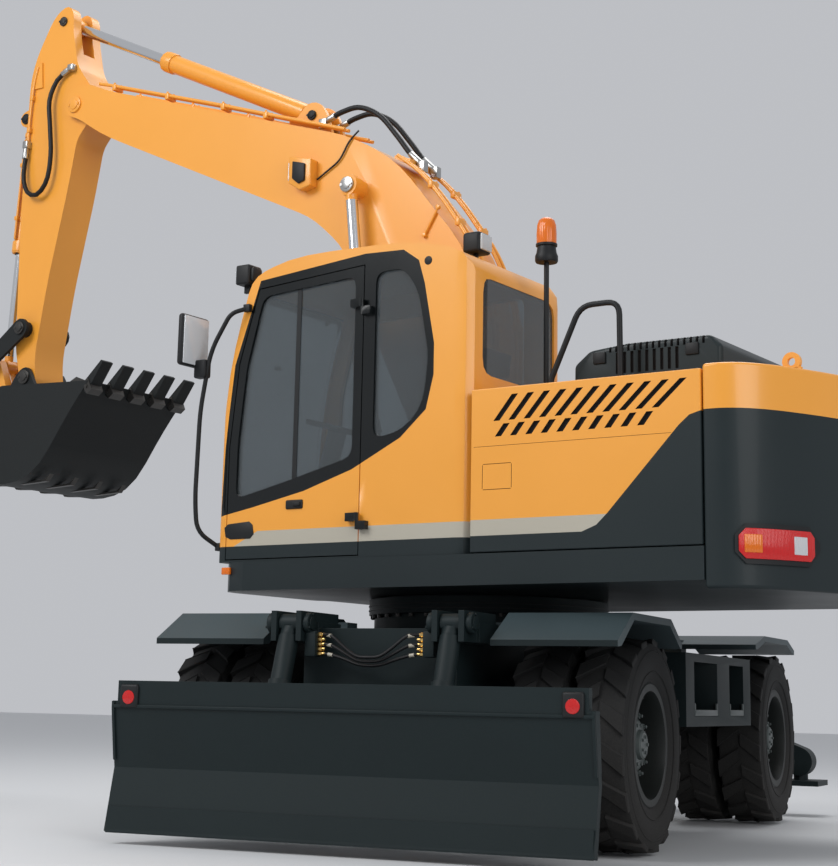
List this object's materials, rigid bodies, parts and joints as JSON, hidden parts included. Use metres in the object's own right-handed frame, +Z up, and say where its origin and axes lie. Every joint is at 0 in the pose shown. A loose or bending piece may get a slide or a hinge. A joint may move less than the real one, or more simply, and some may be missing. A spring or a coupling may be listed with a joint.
{
  "type": "wheeled excavator",
  "caption": "Wheeled excavator with a two-piece digging front, closed cab turned sideways on its slewing ring, dozer blade behind and outriggers in front.",
  "frame": {"origin": "on the ground, in the middle of the whole machine's footprint as it stands with the cab and boom turned to the side", "axes": "+Z up; +Y along the undercarriage towards the steering axle and the outriggers; +X to the right of the undercarriage, so the boom reaches towards -X"},
  "size_m": [6.7962, 4.986, 5.7709],
  "materials": {
    "amber_lamp": "clear amber plastic",
    "black_frame": "matt black chassis paint on cast and welded iron",
    "black_trim": "matt black",
    "chrome_rod": "polished hard chrome",
    "dark_green": "semi-gloss dark green-grey paint",
    "seat_cloth": "woven seat cloth",
    "tyre": "matt tyre rubber",
    "window": "tinted clear glass",
    "yellow": "semi-gloss warm yellow paint"
  },
  "bodies": {
    "chassis": {"chassis_frame": "dark_green", "slew_ring": "black_frame", "rear_axle": "black_frame", "front_axle": "black_frame", "driveline": "black_frame", "left_step_and_fenders": "dark_green", "right_step_and_fenders": "dark_green"},
    "left_steer": {"left_knuckle": "black_frame"},
    "right_steer": {"right_knuckle": "black_frame"},
    "rear_left_wheel": {"rear_left_rims": "dark_green", "rear_left_tyres": "tyre"},
    "rear_right_wheel": {"rear_right_rims": "dark_green", "rear_right_tyres": "tyre"},
    "front_left_wheel": {"front_left_rims": "dark_green", "front_left_tyres": "tyre"},
    "front_right_wheel": {"front_right_rims": "dark_green", "front_right_tyres": "tyre"},
    "blade": {"dozer_blade": "dark_green"},
    "blade_left_barrel": {"blade_left_barrel": "dark_green"},
    "blade_left_rod": {"blade_left_rod": "chrome_rod"},
    "blade_right_barrel": {"blade_right_barrel": "dark_green"},
    "blade_right_rod": {"blade_right_rod": "chrome_rod"},
    "outrigger_left_leg": {"outrigger_left_leg": "dark_green"},
    "outrigger_left_barrel": {"outrigger_left_barrel": "dark_green"},
    "outrigger_left_rod": {"outrigger_left_rod": "chrome_rod"},
    "outrigger_right_leg": {"outrigger_right_leg": "dark_green"},
    "outrigger_right_barrel": {"outrigger_right_barrel": "dark_green"},
    "outrigger_right_rod": {"outrigger_right_rod": "chrome_rod"},
    "upper": {"turntable_frame": "dark_green", "counterweight": "dark_green", "engine_bay_frame": "yellow", "engine_block": "black_frame", "tank_block": "yellow", "cab_shell": "yellow", "quarter_window": "window", "right_window": "window", "rear_window": "window", "windshield": "window", "operator_seat": "seat_cloth", "steering_console": "black_trim", "left_mirror": "black_trim", "beacon": "amber_lamp", "deck_handrail": "black_frame"},
    "cab_door": {"cab_door": "yellow", "door_window": "window"},
    "left_side_door": {"left_side_door": "yellow"},
    "right_side_door": {"right_side_door": "yellow"},
    "engine_hood": {"engine_hood": "dark_green"},
    "boom": {"boom": "yellow"},
    "boom_barrels": {"boom_cylinder_barrels": "yellow"},
    "boom_rods": {"boom_left_rod": "chrome_rod", "boom_right_rod": "chrome_rod"},
    "arm": {"arm": "yellow"},
    "arm_barrel": {"arm_cylinder_barrel": "yellow"},
    "arm_rod": {"arm_cylinder_rod": "chrome_rod"},
    "bucket": {"bucket": "dark_green"},
    "bucket_barrel": {"bucket_cylinder_barrel": "yellow"},
    "bucket_rod": {"bucket_cylinder_rod": "chrome_rod"},
    "rocker": {"rocker_links": "black_frame"},
    "bucket_link": {"bucket_link": "yellow"}
  },
  "joints": [
    {"name": "steer_left", "type": "hinge", "parent": "chassis", "child": "left_steer", "pos_m": [0.35061, 1.323, 0.527], "axis": [0, 0, 1], "range_deg": [-30, 30]},
    {"name": "steer_right", "type": "hinge", "parent": "chassis", "child": "right_steer", "pos_m": [1.47061, 1.323, 0.527], "axis": [0, 0, 1], "range_deg": [-30, 30]},
    {"name": "rear_left_wheel_spin", "type": "hinge", "parent": "chassis", "child": "rear_left_wheel", "pos_m": [-0.04439, -1.487, 0.527], "axis": [1, 0, 0], "continuous": true},
    {"name": "rear_right_wheel_spin", "type": "hinge", "parent": "chassis", "child": "rear_right_wheel", "pos_m": [1.86561, -1.487, 0.527], "axis": [1, 0, 0], "continuous": true},
    {"name": "front_left_wheel_spin", "type": "hinge", "parent": "left_steer", "child": "front_left_wheel", "pos_m": [-0.04439, 1.323, 0.527], "axis": [1, 0, 0], "continuous": true},
    {"name": "front_right_wheel_spin", "type": "hinge", "parent": "right_steer", "child": "front_right_wheel", "pos_m": [1.86561, 1.323, 0.527], "axis": [1, 0, 0], "continuous": true},
    {"name": "blade_lift", "type": "hinge", "parent": "chassis", "child": "blade", "pos_m": [0.91061, -2.117, 0.6], "axis": [-1, 0, 0], "range_deg": [-10, 28]},
    {"name": "blade_left_barrel_turn", "type": "hinge", "parent": "chassis", "child": "blade_left_barrel", "pos_m": [0.47061, -2.147, 1.09], "axis": [-1, 0, 0], "range_deg": [-2.13, 5.97]},
    {"name": "blade_left_rod_slide", "type": "slide", "parent": "blade_left_barrel", "child": "blade_left_rod", "axis": [0, -0.3192, -0.9477], "range_m": [-0.09959, 0.03557]},
    {"name": "blade_right_barrel_turn", "type": "hinge", "parent": "chassis", "child": "blade_right_barrel", "pos_m": [1.35061, -2.147, 1.09], "axis": [-1, 0, 0], "range_deg": [-2.13, 5.97]},
    {"name": "blade_right_rod_slide", "type": "slide", "parent": "blade_right_barrel", "child": "blade_right_rod", "axis": [0, -0.3192, -0.9477], "range_m": [-0.09959, 0.03557]},
    {"name": "outrigger_left_swing", "type": "hinge", "parent": "chassis", "child": "outrigger_left_leg", "pos_m": [0.39061, 2.323, 0.64], "axis": [0, 1, 0], "range_deg": [-22, 25]},
    {"name": "outrigger_left_barrel_turn", "type": "hinge", "parent": "chassis", "child": "outrigger_left_barrel", "pos_m": [0.41061, 2.323, 0.96], "axis": [0, 1, 0], "range_deg": [-12.89, 14.65]},
    {"name": "outrigger_left_rod_slide", "type": "slide", "parent": "outrigger_left_barrel", "child": "outrigger_left_rod", "axis": [-0.7809, 0, -0.6247], "range_m": [-0.10574, 0.09305]},
    {"name": "outrigger_right_swing", "type": "hinge", "parent": "chassis", "child": "outrigger_right_leg", "pos_m": [1.43061, 2.323, 0.64], "axis": [0, -1, 0], "range_deg": [-22, 25]},
    {"name": "outrigger_right_barrel_turn", "type": "hinge", "parent": "chassis", "child": "outrigger_right_barrel", "pos_m": [1.41061, 2.323, 0.96], "axis": [0, -1, 0], "range_deg": [-12.89, 14.65]},
    {"name": "outrigger_right_rod_slide", "type": "slide", "parent": "outrigger_right_barrel", "child": "outrigger_right_rod", "axis": [0.7809, 0, -0.6247], "range_m": [-0.10574, 0.09305]},
    {"name": "swing", "type": "hinge", "parent": "chassis", "child": "upper", "pos_m": [0.91061, -0.557, 1.276], "axis": [0, 0, 1], "continuous": true},
    {"name": "cab_door_hinge", "type": "hinge", "parent": "upper", "child": "cab_door", "pos_m": [0.63388, -1.76937, 2.22], "axis": [0, 0, 1], "range_deg": [0, 165]},
    {"name": "left_side_door_hinge", "type": "hinge", "parent": "upper", "child": "left_side_door", "pos_m": [2.5809, -2.10658, 1.87], "axis": [0, 0, 1], "range_deg": [0, 90]},
    {"name": "right_side_door_hinge", "type": "hinge", "parent": "upper", "child": "right_side_door", "pos_m": [3.01016, 0.32786, 1.87], "axis": [0, 0, -1], "range_deg": [0, 90]},
    {"name": "hood_hinge", "type": "hinge", "parent": "upper", "child": "engine_hood", "pos_m": [2.79553, -0.88936, 2.306], "axis": [0.1736, 0.9848, 0], "range_deg": [0, 60]},
    {"name": "boom_lift", "type": "hinge", "parent": "upper", "child": "boom", "pos_m": [0.7872, -0.39308, 1.85], "axis": [0.1736, 0.9848, 0], "range_deg": [-60, 14]},
    {"name": "boom_barrels_turn", "type": "hinge", "parent": "upper", "child": "boom_barrels", "pos_m": [0.24555, -0.29757, 1.62], "axis": [0.1736, 0.9848, 0], "range_deg": [-62.81, 14.65]},
    {"name": "boom_rods_slide", "type": "slide", "parent": "boom_barrels", "child": "boom_rods", "axis": [-0.1116, 0.0197, 0.9936], "range_m": [-0.59636, 0.13915]},
    {"name": "arm_swing", "type": "hinge", "parent": "boom", "child": "arm", "pos_m": [-2.58084, 0.2008, 4.95], "axis": [-0.1736, -0.9848, 0], "range_deg": [-60, 32]},
    {"name": "arm_barrel_turn", "type": "hinge", "parent": "boom", "child": "arm_barrel", "pos_m": [-0.49305, -0.16734, 4.52], "axis": [0.1736, 0.9848, 0], "range_deg": [-4.8, 8.99]},
    {"name": "arm_rod_slide", "type": "slide", "parent": "arm_barrel", "child": "arm_rod", "axis": [-0.8853, 0.1561, 0.438], "range_m": [-0.65438, 0.349]},
    {"name": "bucket_curl", "type": "hinge", "parent": "arm", "child": "bucket", "pos_m": [-2.93538, 0.26331, 2.95], "axis": [0.1736, 0.9848, 0], "range_deg": [-20, 105]},
    {"name": "rocker_turn", "type": "hinge", "parent": "arm", "child": "rocker", "pos_m": [-2.97477, 0.27026, 3.31], "axis": [0.1736, 0.9848, 0], "range_deg": [-18.38, 96.5]},
    {"name": "bucket_link_turn", "type": "hinge", "parent": "rocker", "child": "bucket_link", "pos_m": [-3.29975, 0.32756, 3.08], "axis": [0.1736, 0.9848, 0], "range_deg": [-72.22, 13.76]},
    {"name": "bucket_barrel_turn", "type": "hinge", "parent": "arm", "child": "bucket_barrel", "pos_m": [-3.19143, 0.30846, 4.98], "axis": [0.1736, 0.9848, 0], "range_deg": [-1.26, 0.24]},
    {"name": "bucket_rod_slide", "type": "slide", "parent": "bucket_barrel", "child": "bucket_rod", "axis": [-0.0569, 0.01, -0.9983], "range_m": [-0.58873, 0.11214]}
  ],
  "couplings": [
    {"joint": "steer_right", "follows": "steer_left", "ratio": 1},
    {"joint": "blade_left_barrel_turn", "follows": "blade_lift", "ratio": 0.21127},
    {"joint": "blade_left_rod_slide", "follows": "blade_lift", "m_per_rad": -0.20178},
    {"joint": "blade_right_barrel_turn", "follows": "blade_lift", "ratio": 0.21127},
    {"joint": "blade_right_rod_slide", "follows": "blade_lift", "m_per_rad": -0.20178},
    {"joint": "outrigger_left_barrel_turn", "follows": "outrigger_left_swing", "ratio": 0.58015},
    {"joint": "outrigger_left_rod_slide", "follows": "outrigger_left_swing", "m_per_rad": -0.23994},
    {"joint": "outrigger_right_barrel_turn", "follows": "outrigger_right_swing", "ratio": 0.58015},
    {"joint": "outrigger_right_rod_slide", "follows": "outrigger_right_swing", "m_per_rad": -0.23994},
    {"joint": "boom_barrels_turn", "follows": "boom_lift", "ratio": 1.0364},
    {"joint": "boom_rods_slide", "follows": "boom_lift", "m_per_rad": 0.56384},
    {"joint": "arm_barrel_turn", "follows": "arm_swing", "ratio": -0.14842},
    {"joint": "arm_rod_slide", "follows": "arm_swing", "m_per_rad": 0.61869},
    {"joint": "rocker_turn", "follows": "bucket_curl", "ratio": 0.90993},
    {"joint": "bucket_link_turn", "follows": "bucket_curl", "ratio": -0.68096},
    {"joint": "bucket_barrel_turn", "follows": "bucket_curl", "ratio": -0.011847},
    {"joint": "bucket_rod_slide", "follows": "bucket_curl", "m_per_rad": -0.31807}
  ]
}
